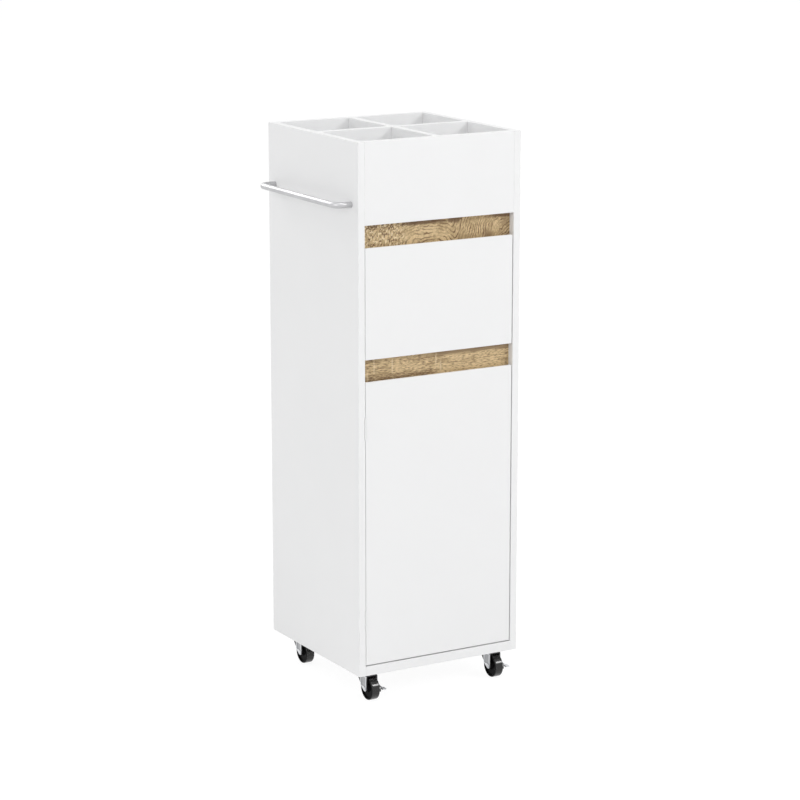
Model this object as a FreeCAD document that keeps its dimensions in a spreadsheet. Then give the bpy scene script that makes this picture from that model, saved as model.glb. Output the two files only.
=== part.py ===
# Rolling bathroom cabinet: white boards with oak grip rails, an open tray in four compartments,
# one drawer, one door, a towel rail on the left side and four swivel casters.
# Millimetres. Origin on the floor under the middle of the carcass, +X right, +Y back, +Z up.
import FreeCAD
import Part
import Sketcher
import math
import os
import re

# Driving dimensions

SIZES = [
    ("cabinet_width", 300, "outside width of the carcass"),
    ("cabinet_depth", 300, "outside depth of the carcass"),
    ("body_height", 870, "carcass height without the casters"),
    ("caster_height", 48, "floor to underside of the carcass"),
    ("board", 12, "thickness of the carcass boards"),
    ("base_board", 16, "thickness of the bottom panel"),
    ("front_board", 12, "thickness of the fascia, drawer front and door"),
    ("fascia_height", 132, "height of the fixed fascia"),
    ("grip_height", 36, "open height of each grip recess"),
    ("drawer_front_height", 179, "height of the drawer front"),
    ("front_gap", 2, "gap to the right of the drawer front and the door and below the door"),
    ("left_gap", 0.8, "gap to the left of the drawer front and the door"),
    ("front_setback", 0.5, "clearance behind the fronts"),
    ("lip", 4, "thickness left at the top of a front"),
    ("bevel_height", 20, "height of the finger bevel behind a front"),
    ("edge_ease", 0.5, "rounding of the board edges"),
    ("panel_rise", 2, "underside of tray floor and mid panel above the front edge beside it"),
    ("grip_overlap", 7, "grip rail reaching down behind the front below it"),
    ("thin_sheet", 3, "thickness of the back sheet and drawer bottom"),
    ("groove_depth", 6, "depth of the grooves for thin sheet"),
    ("groove_play", 0.2, "groove width over the sheet"),
    ("sheet_play", 0.5, "sheet edge short of the groove bottom"),
    ("divider", 12, "thickness of the tray dividers"),
    ("lap_play", 0.1, "clearance on each side of the halving joint"),
    ("shelf_rise", 236, "underside of the shelf above the bottom panel"),
    ("shelf_play", 1, "shelf short of each side panel"),
    ("shelf_setback", 17, "front edge of the shelf behind the fronts"),
    ("pin_diameter", 5, "shelf pin diameter"),
    ("pin_hole_depth", 8, "shelf pin hole depth"),
    ("pin_reach", 9, "shelf pin standing out of the panel"),
    ("pin_pitch", 64, "spacing of the shelf pin rows"),
    ("pin_inset", 60, "shelf pin columns in from front and back"),
    ("dowel_diameter", 6, "assembly dowel diameter"),
    ("dowel_in_side", 8, "dowel length inside the side panel"),
    ("dowel_in_end", 16, "dowel length inside the board end"),
    ("dowel_play", 0.05, "radial clearance of dowels, bolts and screws"),
    ("hole_end_play", 0.4, "hole deeper than what it holds"),
    ("dowel_inset", 40, "dowels in from the front and back"),
    ("upright_dowel_inset", 30, "dowels in from the ends of upright boards"),
    ("grip_dowel_inset", 12, "dowels in from the edges of a grip rail"),
    ("cam_inset", 75, "cam locks in from the front and back"),
    ("cam_reach", 24, "cam lock centre in from the board end"),
    ("cam_diameter", 12, "cam lock diameter"),
    ("cam_slot", 1.6, "screwdriver slot in a cam lock"),
    ("bolt_diameter", 6, "cam bolt diameter"),
    ("towel_rail_diameter", 10, "towel rail diameter"),
    ("towel_rail_inset", 22, "towel rail holes in from the front and back"),
    ("towel_rail_standoff", 27, "towel rail centre line out from the panel"),
    ("towel_rail_bend", 14, "towel rail bend radius on its centre line"),
    ("towel_rail_drop", 100, "towel rail centre below the rim"),
    ("rail_screw_diameter", 5, "towel rail screw diameter"),
    ("rail_screw_depth", 10, "towel rail screw length inside the rail"),
    ("rail_screw_head", 9, "towel rail screw head diameter"),
    ("rail_screw_head_height", 2.5, "towel rail screw head height"),
    ("drawer_board", 12, "thickness of the drawer sides and back"),
    ("drawer_side_play", 1.5, "drawer side clear of the side panel"),
    ("drawer_side_height", 130, "height of the drawer sides"),
    ("drawer_rear_gap", 21, "drawer clear of the back sheet"),
    ("drawer_lift", 4, "drawer sides above the mid panel"),
    ("drawer_bottom_rise", 8, "drawer bottom above the lower edge of the sides"),
    ("drawer_dowel_inset", 25, "drawer dowels in from the edges of the sides"),
    ("guide_thickness", 7, "thickness of a drawer guide strip"),
    ("guide_height", 16, "height of a drawer guide strip"),
    ("guide_rear_gap", 15, "guide strip short of the rear end of the drawer"),
    ("guide_rise", 60, "guide strip centre above the lower edge of the drawer side"),
    ("guide_play", 0.3, "running clearance round a guide strip"),
    ("guide_stop", 10, "closed front end of the guide groove"),
    ("guide_screw_inset", 35, "screws in from the ends of a guide strip"),
    ("hinge_length", 36, "length of a door hinge"),
    ("hinge_inset", 75, "hinge centre in from the top and bottom of the door"),
    ("leaf_sheet", 0.9, "thickness of a hinge leaf"),
    ("leaf_width", 11, "width of a hinge leaf"),
    ("barrel_diameter", 3.2, "hinge barrel diameter"),
    ("hinge_pin_diameter", 1.6, "hinge pin diameter"),
    ("hinge_pin_play", 0.05, "radial running fit of the hinge pin"),
    ("knuckle_play", 0.3, "clearance round and between hinge knuckles"),
    ("hinge_screw_diameter", 2.2, "hinge screw diameter"),
    ("hinge_screw_head", 4.2, "hinge screw head diameter"),
    ("hinge_screw_depth", 8, "hinge screw length inside the board"),
    ("hinge_screw_inset", 8, "hinge screws in from the leaf ends"),
    ("hinge_screw_back", 6.5, "hinge screws behind the front plane"),
    ("catch_width", 14, "magnet catch width off the side panel"),
    ("catch_depth", 16, "magnet catch front to back"),
    ("catch_height", 32, "magnet catch height"),
    ("catch_drop", 90, "magnet catch centre below the door top"),
    ("catch_gap", 0.2, "magnet short of the strike plate"),
    ("catch_flange", 2.5, "thickness of the screwed flange of the magnet catch"),
    ("catch_ear", 9, "flange beyond each end of the magnet catch"),
    ("strike_sheet", 1, "strike plate thickness"),
    ("strike_width", 11, "strike plate width"),
    ("strike_edge", 3, "strike plate in from the door edge"),
    ("caster_inset_side", 31.5, "swivel axis in from the side"),
    ("caster_inset_end", 38, "swivel axis in from front and back"),
    ("caster_trail", 18, "wheel axle ahead of the swivel axis"),
    ("wheel_diameter", 39, "caster wheel diameter"),
    ("wheel_width", 15, "caster wheel width"),
    ("wheel_side_gap", 1.4, "wheel clear of each fork arm"),
    ("wheel_shoulder", 2, "rounding of the wheel tread edges"),
    ("wheel_recess", 2.2, "depth of the recess in the wheel sides"),
    ("wheel_hub_diameter", 12, "wheel hub diameter"),
    ("wheel_rim_inside", 31, "diameter of the recess inside the rim"),
    ("wheel_taper", 1, "slope of the recess walls"),
    ("axle_diameter", 5, "caster axle diameter"),
    ("running_play", 0.05, "radial running fit on axles and kingpins"),
    ("axle_head_diameter", 7, "diameter of the riveted axle heads"),
    ("axle_head_height", 0.8, "height of the riveted axle heads"),
    ("fork_sheet", 2, "sheet thickness of the fork"),
    ("fork_bend", 3.5, "outside bend radius of the fork"),
    ("fork_rear", 4, "rear edge of the fork arms ahead of the swivel axis"),
    ("fork_knee", 23, "rear knee of the fork arms above the floor"),
    ("fork_boss", 5, "fork arm ahead of the axle"),
    ("fork_toe", 4.5, "fork arm below the axle"),
    ("fork_foot", 2, "flat foot of the fork arm behind the axle"),
    ("fork_round", 4.6, "rounding of the feet of the fork arms"),
    ("fork_disc_diameter", 28, "swivel disc of the fork"),
    ("arm_rim", 2.6, "raised rim beside the pressed panel of a fork arm"),
    ("arm_panel", 0.7, "depth of the pressed panel of a fork arm"),
    ("gusset_step", 1.2, "gusset set in from the outside of the fork arm"),
    ("gusset_rear", 6, "gusset behind the swivel axis"),
    ("gusset_foot", 34, "upright rear edge of the gusset above the floor"),
    ("plate_size", 38, "caster plate side"),
    ("plate_sheet", 2, "caster plate thickness"),
    ("plate_corner", 4, "caster plate corner radius"),
    ("race_height", 3, "swivel race below the caster plate"),
    ("race_diameter", 26, "swivel race at the plate"),
    ("race_taper", 3, "swivel race radius lost towards the fork"),
    ("race_gap", 0.5, "running gap between race and fork"),
    ("kingpin_diameter", 8, "kingpin diameter"),
    ("kingpin_head", 13, "kingpin head diameter"),
    ("kingpin_head_height", 1.7, "kingpin head height"),
    ("kingpin_gap", 0.2, "kingpin head clear of the fork"),
    ("plate_screw_inset", 5, "caster plate screws in from the plate edges"),
    ("screw_diameter", 3.5, "panel screw diameter"),
    ("screw_depth", 9, "panel screw length inside a board"),
    ("screw_head", 6.8, "panel screw head diameter"),
    ("screw_head_height", 1.6, "panel screw head height"),
    ("recess_share", 0.55, "cross recess of a screw as a share of its head"),
    ("recess_width", 0.8, "width of the cross recess of a screw"),
    ("recess_depth", 0.6, "depth of the cross recess of a screw"),
    ("brake_disc_diameter", 17, "friction disc diameter"),
    ("brake_disc", 2, "friction disc thickness"),
    ("stop_diameter", 5, "diameter of the peg that stops the brake lever"),
    ("stop_ahead", 6.2, "stop peg ahead of the axle"),
    ("stop_below", 5, "stop peg below the axle"),
    ("lever_hub_diameter", 9, "brake lever hub diameter"),
    ("lever_hub", 2, "brake lever hub thickness"),
    ("lever_play", 0.1, "clearance on each side of the brake lever hub"),
    ("lever_sheet", 1.8, "thickness of the brake lever toe"),
    ("lever_knee", 12.5, "bend of the brake lever ahead of the axle"),
    ("lever_reach", 23.6, "tip of the brake lever ahead of the axle"),
    ("lever_rise", 2.4, "top of the lever toe above the axle"),
    ("lever_toe_width", 6.8, "width of the brake lever toe"),
    ("lever_corner", 2, "rounded corners of the brake lever toe"),
]

doc = FreeCAD.newDocument("RollingCabinet")
sheet = doc.addObject("Spreadsheet::Sheet", "Sizes")
for row, (alias, value, note) in enumerate(SIZES, start=1):
    sheet.set(f"A{row}", note)
    sheet.set(f"B{row}", str(value))
    sheet.setAlias(f"B{row}", alias)
doc.recompute()

ALIASES = {alias for alias, value, note in SIZES}
AXES = {
    "x": FreeCAD.Vector(1, 0, 0),
    "y": FreeCAD.Vector(0, 1, 0),
    "z": FreeCAD.Vector(0, 0, 1),
}
LEFT, RIGHT = -1, 1
PICK = 0.01     # how near an edge must lie to the place it is picked by


# Spans: where something starts along an axis and how long it is, both as formulas

def between(low, high):
    """A span from its two ends."""
    return low, f"({high} - {low})"


def centred(length):
    """A span that reaches equally far to both sides of zero."""
    return f"(-{length} / 2)", length


def crossing(side, wall, outward, inward):
    """A span across X at the left or right wall, from how far it reaches out past the wall and in."""
    start = f"(-{wall} - {outward})" if side == LEFT else f"({wall} - {inward})"
    return start, f"({outward} + {inward})"


# Heights and planes that several pieces share

HALF_WIDTH = "(cabinet_width / 2)"
INNER = f"({HALF_WIDTH} - board)"
INSIDE = between(f"(-{INNER})", INNER)
FRONT = "(-cabinet_depth / 2)"
BACK = "(cabinet_depth / 2)"
UNDERSIDE = "caster_height"
RIM = "(caster_height + body_height)"
BASE_TOP = "(caster_height + base_board)"
FASCIA_BOTTOM = f"({RIM} - fascia_height)"
DRAWER_TOP = f"({FASCIA_BOTTOM} - grip_height)"
DRAWER_BOTTOM = f"({DRAWER_TOP} - drawer_front_height)"
DOOR_TOP = f"({DRAWER_BOTTOM} - grip_height)"
DOOR_BOTTOM = f"({BASE_TOP} + front_gap)"
TRAY_UNDER = f"({FASCIA_BOTTOM} + panel_rise)"
TRAY_TOP = f"({TRAY_UNDER} + board)"
MID_UNDER = f"({DRAWER_BOTTOM} + panel_rise)"
MID_TOP = f"({MID_UNDER} + board)"
FRONTS_BACK = f"({FRONT} + front_board)"
GRIP_FACE = f"({FRONTS_BACK} + front_setback)"
SHEET_FACE = f"({BACK} - board)"
FRONT_LEFT = f"({INNER} - left_gap)"
FRONT_RIGHT = f"({INNER} - front_gap)"


# Helpers

def formula(text):
    """Point each driving dimension named in a formula at its cell."""
    return re.sub(r"[a-z_]+", lambda word: f"Sizes.{word[0]}" if word[0] in ALIASES else word[0], text)


def bind(thing, formulas):
    """Tie properties of a document object to formulas."""
    for name, text in formulas.items():
        thing.setExpression(name, formula(text))
    return thing


def place(thing, position):
    """Tie the position of a document object to three formulas."""
    names = ("Placement.Base.x", "Placement.Base.y", "Placement.Base.z")
    return bind(thing, dict(zip(names, position)))


def point_along(thing, axis):
    """Turn something made upright so that it runs along an axis."""
    thing.Placement = FreeCAD.Placement(FreeCAD.Vector(), FreeCAD.Rotation(AXES["z"], AXES[axis]))


def block(name, *spans):
    """A plain box from its spans along X, Y and Z."""
    starts, lengths = zip(*spans)
    thing = doc.addObject("Part::Box", name)
    bind(thing, dict(zip(("Length", "Width", "Height"), lengths)))
    return place(thing, starts)


def rod(name, diameter, axis, span, at):
    """A round bar with a span along one axis, at its place on the other two axes in turn."""
    start, length = span
    thing = doc.addObject("Part::Cylinder", name)
    point_along(thing, axis)
    bind(thing, {"Radius": f"({diameter}) / 2", "Height": length})
    position = list(at)
    position.insert("xyz".index(axis), start)
    return place(thing, position)


def group(name, members):
    """Separate solids kept together under one name."""
    thing = doc.addObject("Part::Compound", name)
    thing.Links = members
    return thing


def fuse(name, members):
    """One solid from overlapping or touching solids."""
    thing = doc.addObject("Part::MultiFuse", name)
    thing.Shapes = members
    thing.Refine = True
    return thing


def cut(name, base, tools):
    """A solid with other solids taken out of it."""
    thing = doc.addObject("Part::Cut", name)
    thing.Base = base
    thing.Tool = tools[0] if len(tools) == 1 else group(f"{name}_cuts", tools)
    return thing


def common(name, first, second):
    """What two solids share."""
    thing = doc.addObject("Part::Common", name)
    thing.Base = first
    thing.Tool = second
    return thing


def polygon(body, name, plane_role, corners):
    """A closed sketch of straight lines whose corners are tied to formulas."""
    sketch = body.newObject("Sketcher::SketchObject", name)
    plane = next(part for part in body.Origin.OriginFeatures if part.Role == plane_role)
    sketch.AttachmentSupport = (plane, [""])
    sketch.MapMode = "FlatFace"
    count = len(corners)
    turns = [2 * math.pi * number / count for number in range(count)]
    ring = [FreeCAD.Vector(math.cos(turn), math.sin(turn), 0) for turn in turns]
    for number in range(count):
        sketch.addGeometry(Part.LineSegment(ring[number], ring[(number + 1) % count]))
    for number in range(count):
        sketch.addConstraint(Sketcher.Constraint("Coincident", number, 2, (number + 1) % count, 1))
    for number, (across, up) in enumerate(corners):
        for kind, text, zero_axis in (("DistanceX", across, -2), ("DistanceY", up, -1)):
            if text == "0":
                sketch.addConstraint(Sketcher.Constraint("PointOnObject", number, 1, zero_axis))
                continue
            index = sketch.addConstraint(Sketcher.Constraint(kind, -1, 1, number, 1, 1.0))
            sketch.renameConstraint(index, f"{kind}_{number}")
            sketch.setExpression(f"Constraints.{kind}_{number}", formula(text))
    return sketch


def pad(body, sketch, length, side="Symmetric"):
    """A sketch given thickness."""
    feature = body.newObject("PartDesign::Pad", f"{sketch.Name}_pad")
    feature.Profile = sketch
    feature.SideType = side
    return bind(feature, {"Length": length})


def fillet(body, base, radius, chosen):
    """Rounded edges of a feature, picked by a test on the edge."""
    doc.recompute()
    names = [f"Edge{number}" for number, edge in enumerate(base.Shape.Edges, start=1) if chosen(edge)]
    feature = body.newObject("PartDesign::Fillet", f"{base.Name}_fillet")
    feature.Base = (base, names)
    return bind(feature, {"Radius": radius})


def every_edge(edge):
    """The test that picks all edges."""
    return True


def runs_along(axis):
    """A test for straight edges along an axis."""
    def test(edge):
        ends = [vertex.Point for vertex in edge.Vertexes]
        if len(ends) < 2:
            return False
        run = ends[1] - ends[0]
        return run.Length - abs(run.dot(AXES[axis])) < PICK

    return test


def eased_board(name, *spans):
    """A board with every edge slightly rounded, from its spans along X, Y and Z."""
    starts, (length, width, height) = zip(*spans)
    body = doc.addObject("PartDesign::Body", name)
    outline = polygon(body, f"{name}_face", "XY_Plane",
                      [("0", "0"), (length, "0"), (length, width), ("0", width)])
    fillet(body, pad(body, outline, height, "One side"), "edge_ease", every_edge)
    return place(body, starts)


def bevelled_front(name, foot, height):
    """A front board whose upper rear edge is cut back, so that fingers hook behind its lip."""
    body = doc.addObject("PartDesign::Body", name)
    section = polygon(body, f"{name}_section", "YZ_Plane", [
        ("0", "0"), ("front_board", "0"), ("front_board", f"{height} - bevel_height"),
        ("lip", height), ("0", height),
    ])
    fillet(body, pad(body, section, f"{FRONT_LEFT} + {FRONT_RIGHT}"), "edge_ease", every_edge)
    return place(body, (f"({FRONT_RIGHT} - {FRONT_LEFT}) / 2", FRONT, foot))


def loose(diameter):
    """The hole that a dowel, bolt or screw slips into."""
    return f"{diameter} + 2 * dowel_play"


def running(diameter):
    """The hole that turns on an axle or a kingpin."""
    return f"{diameter} + 2 * running_play"


blanks = {}
cuts = {}
pieces = []


def take_from(node, tool):
    """Note a solid that will be taken out of a node."""
    cuts.setdefault(node, []).append(tool)


def bore(node, diameter, axis, span, at):
    """Note a round hole in a node for something of this diameter."""
    take_from(node, rod(f"{node}_bore", loose(diameter), axis, span, at))


def screw(kind, axis, head, shank, recess, at):
    """A screw with a cross recess, from the spans of its head, shank and recess along its axis."""
    blank = fuse(f"{kind}_blank", [
        rod(f"{kind}_top", f"{kind}_head", axis, head, at),
        rod(f"{kind}_shank", f"{kind}_diameter", axis, shank, at),
    ])
    arm = f"({kind}_head * recess_share)"
    arms = []
    for lengths in ((arm, "recess_width"), ("recess_width", arm)):
        spans = [(f"{middle} - {length} / 2", length) for middle, length in zip(at, lengths)]
        spans.insert("xyz".index(axis), recess)
        arms.append(block(f"{kind}_recess", *spans))
    return cut(kind, blank, arms)


def add_piece(node, thing):
    """Keep a finished solid or group as a sub-part."""
    thing.Label = node
    pieces.append(thing)


# Carcass boards. Those whose edges show are eased, those that butt against others all round are left square

SIDE_NODES = {LEFT: "side_panel_left", RIGHT: "side_panel_right"}
WHOLE_DEPTH = between(FRONT, BACK)
for side, node in SIDE_NODES.items():
    blanks[node] = eased_board(f"{node}_blank", crossing(side, INNER, "board", "0"), WHOLE_DEPTH,
                               (UNDERSIDE, "body_height"))
blanks["bottom_panel"] = eased_board("bottom_panel_blank", INSIDE, WHOLE_DEPTH, (UNDERSIDE, "base_board"))
blanks["mid_panel"] = block("mid_panel_blank", INSIDE, between(GRIP_FACE, SHEET_FACE), (MID_UNDER, "board"))
blanks["tray_floor"] = block("tray_floor_blank", INSIDE, between(FRONTS_BACK, SHEET_FACE),
                             (TRAY_UNDER, "board"))
blanks["fascia"] = eased_board("fascia_blank", INSIDE, (FRONT, "front_board"), between(FASCIA_BOTTOM, RIM))
blanks["tray_back_board"] = eased_board("tray_back_board_blank", INSIDE, (SHEET_FACE, "board"),
                                        between(TRAY_UNDER, RIM))

# The two oak grip rails hang under the tray floor and the mid panel, behind the finger recesses

GRIP_RAILS = {
    "grip_rail_upper": (f"({DRAWER_TOP} - grip_overlap)", TRAY_UNDER),
    "grip_rail_lower": (f"({DOOR_TOP} - grip_overlap)", MID_UNDER),
}
for node, (foot, top) in GRIP_RAILS.items():
    blanks[node] = block(f"{node}_blank", INSIDE, (GRIP_FACE, "board"), between(foot, top))

# Tray dividers, halved over each other: the long one is slotted from above, the cross one from below

TRAY_RISE = between(TRAY_TOP, RIM)
LAP_LEVEL = f"(({TRAY_TOP} + {RIM}) / 2)"
LAP_SLOT = centred("(divider + 2 * lap_play)")
blanks["tray_divider_long"] = eased_board("tray_divider_long_blank", centred("divider"),
                                          between(FRONTS_BACK, SHEET_FACE), TRAY_RISE)
blanks["tray_divider_cross"] = eased_board("tray_divider_cross_blank", INSIDE, centred("divider"), TRAY_RISE)
take_from("tray_divider_long", block("long_slot", LAP_SLOT, LAP_SLOT, between(LAP_LEVEL, RIM)))
take_from("tray_divider_cross", block("cross_slot", LAP_SLOT, LAP_SLOT, between(TRAY_TOP, LAP_LEVEL)))

# Thin back sheet in grooves of the side panels, the bottom panel and a rabbet of the tray back board

SHEET_FOOT = f"({BASE_TOP} - groove_depth)"
SHEET_HEAD = f"({TRAY_UNDER} + groove_depth)"
SHEET_REACH = "(groove_depth - sheet_play)"
GROOVE = (SHEET_FACE, "thin_sheet + groove_play")
add_piece("back_sheet", block(
    "back_sheet", centred(f"(2 * ({INNER} + {SHEET_REACH}))"),
    (f"{SHEET_FACE} + groove_play / 2", "thin_sheet"),
    between(f"({SHEET_FOOT} + sheet_play)", f"({SHEET_HEAD} - sheet_play)")))
for side, node in SIDE_NODES.items():
    take_from(node, block(f"{node}_groove", crossing(side, INNER, "groove_depth", "0"), GROOVE,
                          between(SHEET_FOOT, SHEET_HEAD)))
take_from("bottom_panel", block("bottom_panel_groove", INSIDE, GROOVE, between(SHEET_FOOT, BASE_TOP)))
take_from("tray_back_board", block("tray_back_board_rabbet", INSIDE, GROOVE, between(TRAY_UNDER, SHEET_HEAD)))

# Assembly dowels between each cross board and the side panels

HOLE_IN_SIDE = "(dowel_in_side + hole_end_play)"
HOLE_IN_END = "(dowel_in_end + hole_end_play)"
LEVEL_BOARDS = {
    "bottom_panel": (UNDERSIDE, "base_board"),
    "mid_panel": (MID_UNDER, "board"),
    "tray_floor": (TRAY_UNDER, "board"),
}
UPRIGHT_BOARDS = {
    "fascia": (f"({FRONT} + front_board / 2)", f"({FASCIA_BOTTOM} + upright_dowel_inset)",
               f"({RIM} - upright_dowel_inset)"),
    "tray_back_board": (f"({BACK} - board / 2)", f"({TRAY_UNDER} + upright_dowel_inset)",
                        f"({RIM} - upright_dowel_inset)"),
}
for node, (foot, top) in GRIP_RAILS.items():
    UPRIGHT_BOARDS[node] = (f"({GRIP_FACE} + board / 2)", f"({foot} + grip_dowel_inset)",
                            f"({top} - grip_dowel_inset)")
dowel_places = []
for node, (under, thickness) in LEVEL_BOARDS.items():
    for y in (f"{FRONT} + dowel_inset", f"{BACK} - dowel_inset"):
        dowel_places.append((node, (y, f"{under} + {thickness} / 2")))
for node, (y, low, high) in UPRIGHT_BOARDS.items():
    dowel_places += [(node, (y, low)), (node, (y, high))]


def join_across(side, side_node, end_node, wall, at):
    """A dowel across X from the face of one board into the end of another, with both holes."""
    bore(side_node, "dowel_diameter", "x", crossing(side, wall, HOLE_IN_SIDE, "0"), at)
    bore(end_node, "dowel_diameter", "x", crossing(side, wall, "0", HOLE_IN_END), at)
    return rod("dowel", "dowel_diameter", "x", crossing(side, wall, "dowel_in_side", "dowel_in_end"), at)


dowels = []
for end_node, at in dowel_places:
    for side, side_node in SIDE_NODES.items():
        dowels.append(join_across(side, side_node, end_node, INNER, at))
add_piece("assembly_dowels", group("assembly_dowels", dowels))

# Cam bolts stand in the side panels, and cam locks in the undersides of the level boards draw them tight

bolts = []
cams = []
for node, (under, thickness) in LEVEL_BOARDS.items():
    level = f"({under} + {thickness} / 2)"
    pocket = (under, f"({thickness} / 2 + bolt_diameter / 2 + hole_end_play)")
    for side, side_node in SIDE_NODES.items():
        cam_x = f"({side} * ({INNER} - cam_reach))"
        bolt_way = crossing(side, INNER, "0", "cam_reach")
        bolt_seat = crossing(side, INNER, "0", "(cam_reach + hole_end_play)")
        bolt = crossing(side, INNER, "dowel_in_side", "cam_reach")
        for y in (f"({FRONT} + cam_inset)", f"({BACK} - cam_inset)"):
            bore(side_node, "bolt_diameter", "x", crossing(side, INNER, HOLE_IN_SIDE, "0"), (y, level))
            take_from(node, fuse("cam_way", [
                rod("bolt_way", loose("bolt_diameter"), "x", bolt_way, (y, level)),
                rod("cam_pocket", loose("cam_diameter"), "z", pocket, (cam_x, y)),
            ]))
            bolts.append(rod("cam_bolt", "bolt_diameter", "x", bolt, (y, level)))
            disc = rod("cam_disc", "cam_diameter", "z", pocket, (cam_x, y))
            seat = rod("cam_seat", loose("bolt_diameter"), "x", bolt_seat, (y, level))
            slot = block("cam_slot", (f"{cam_x} - cam_diameter / 2", "cam_diameter"),
                         (f"{y} - cam_slot / 2", "cam_slot"), (under, "cam_slot"))
            cams.append(cut("cam_lock", disc, [seat, slot]))
add_piece("cam_bolts", group("cam_bolts", bolts))
add_piece("cam_locks", group("cam_locks", cams))

# Shelf on four pins, with spare rows of holes above and below

SHELF_UNDER = f"({BASE_TOP} + shelf_rise)"
PIN_LEVEL = f"({SHELF_UNDER} - pin_diameter / 2)"
blanks["shelf"] = block("shelf_blank", centred(f"(2 * ({INNER} - shelf_play))"),
                        between(f"({FRONTS_BACK} + shelf_setback)", f"({SHEET_FACE} - shelf_play)"),
                        (SHELF_UNDER, "board"))
shelf_pins = []
for side, side_node in SIDE_NODES.items():
    pin_hole = crossing(side, INNER, "pin_hole_depth", "0")
    for y in (f"{FRONT} + pin_inset", f"{BACK} - pin_inset"):
        for row in (-1, 0, 1):
            bore(side_node, "pin_diameter", "x", pin_hole, (y, f"{PIN_LEVEL} + {row} * pin_pitch"))
        shelf_pins.append(rod("shelf_pin", "pin_diameter", "x",
                              crossing(side, INNER, "pin_hole_depth", "pin_reach"), (y, PIN_LEVEL)))
add_piece("shelf_pins", group("shelf_pins", shelf_pins))

# Towel rail: a round bar bent to a U, its two legs screwed to the left side panel from inside

RAIL_LEVEL = f"({RIM} - towel_rail_drop)"
RAIL_LINE = f"(-{HALF_WIDTH} - towel_rail_standoff)"
RAIL_END = f"({BACK} - towel_rail_inset)"
LEG = "(towel_rail_standoff - towel_rail_bend)"
bar = [rod("towel_rail_grip", "towel_rail_diameter", "y", centred(f"(2 * ({RAIL_END} - towel_rail_bend))"),
           (RAIL_LINE, RAIL_LEVEL))]
rail_bores = []
rail_screws = []
for sign, first_angle in ((-1, 180), (1, 90)):
    at = (f"({sign} * {RAIL_END})", RAIL_LEVEL)
    bar.append(rod("towel_rail_leg", "towel_rail_diameter", "x", crossing(LEFT, HALF_WIDTH, LEG, "0"), at))
    bend = doc.addObject("Part::Torus", "towel_rail_bend")
    bend.Placement = FreeCAD.Placement(FreeCAD.Vector(), FreeCAD.Rotation(AXES["z"], first_angle))
    bend.Angle3 = 90
    bind(bend, {"Radius1": "towel_rail_bend", "Radius2": "towel_rail_diameter / 2"})
    bar.append(place(bend, (f"{RAIL_LINE} + towel_rail_bend", f"{sign} * ({RAIL_END} - towel_rail_bend)",
                            RAIL_LEVEL)))
    rail_bores.append(rod("rail_bore", loose("rail_screw_diameter"), "x",
                          crossing(LEFT, HALF_WIDTH, "(rail_screw_depth + hole_end_play)", "0"), at))
    bore("side_panel_left", "rail_screw_diameter", "x", crossing(LEFT, INNER, "board", "0"), at)
    rail_screws.append(screw("rail_screw", "x", crossing(LEFT, INNER, "0", "rail_screw_head_height"),
                             crossing(LEFT, INNER, "(board + rail_screw_depth)", "0"),
                             crossing(LEFT, f"({INNER} - rail_screw_head_height)", "recess_depth", "0"), at))
add_piece("towel_rail", cut("towel_rail", fuse("towel_rail_bar", bar), rail_bores))
add_piece("towel_rail_screws", group("towel_rail_screws", rail_screws))

# Drawer box: grooved sides that run on guide strips, doweled to the front and the back

DRAWER_OUT = f"({INNER} - drawer_side_play)"
DRAWER_IN = f"({DRAWER_OUT} - drawer_board)"
DRAWER_FOOT = f"({MID_TOP} + drawer_lift)"
DRAWER_REAR = f"({SHEET_FACE} - drawer_rear_gap)"
DRAWER_RISE = (DRAWER_FOOT, "drawer_side_height")
DRAWER_SIDES = {LEFT: "drawer_side_left", RIGHT: "drawer_side_right"}
GUIDE_LEVEL = f"({DRAWER_FOOT} + guide_rise)"
GUIDE_SLOT = "(guide_thickness - drawer_side_play + guide_play)"
GUIDE_FOOT = f"({GUIDE_LEVEL} - guide_height / 2)"
BACK_FACE = f"({DRAWER_REAR} - drawer_board)"
SHEET_LEVEL = f"({DRAWER_FOOT} + drawer_bottom_rise)"
SHEET_SLOT = (SHEET_LEVEL, "thin_sheet + groove_play")

blanks["drawer_front"] = bevelled_front("drawer_front_blank", DRAWER_BOTTOM, "drawer_front_height")
blanks["drawer_back"] = block("drawer_back_blank", centred(f"(2 * {DRAWER_IN})"), (BACK_FACE, "drawer_board"),
                              DRAWER_RISE)
for side, node in DRAWER_SIDES.items():
    blanks[node] = block(f"{node}_blank", crossing(side, DRAWER_IN, "drawer_board", "0"),
                         between(FRONTS_BACK, DRAWER_REAR), DRAWER_RISE)
    take_from(node, block(f"{node}_guide_slot", crossing(side, DRAWER_OUT, "0", GUIDE_SLOT),
                          between(f"({FRONTS_BACK} + guide_stop)", DRAWER_REAR),
                          (f"{GUIDE_FOOT} - guide_play", "guide_height + 2 * guide_play")))
    take_from(node, block(f"{node}_sheet_groove", crossing(side, DRAWER_IN, "groove_depth", "0"),
                          between(FRONTS_BACK, f"({BACK_FACE} + groove_depth)"), SHEET_SLOT))
take_from("drawer_front", block(
    "drawer_front_sheet_groove", centred(f"(2 * ({DRAWER_IN} + groove_depth))"),
    between(f"({FRONTS_BACK} - groove_depth)", FRONTS_BACK), SHEET_SLOT))
take_from("drawer_back", block(
    "drawer_back_sheet_groove", centred(f"(2 * {DRAWER_IN})"), (BACK_FACE, "groove_depth"), SHEET_SLOT))
add_piece("drawer_bottom", block(
    "drawer_bottom", centred(f"(2 * ({DRAWER_IN} + {SHEET_REACH}))"),
    between(f"({FRONTS_BACK} - {SHEET_REACH})", f"({BACK_FACE} + {SHEET_REACH})"),
    (f"{SHEET_LEVEL} + groove_play / 2", "thin_sheet")))

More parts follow.
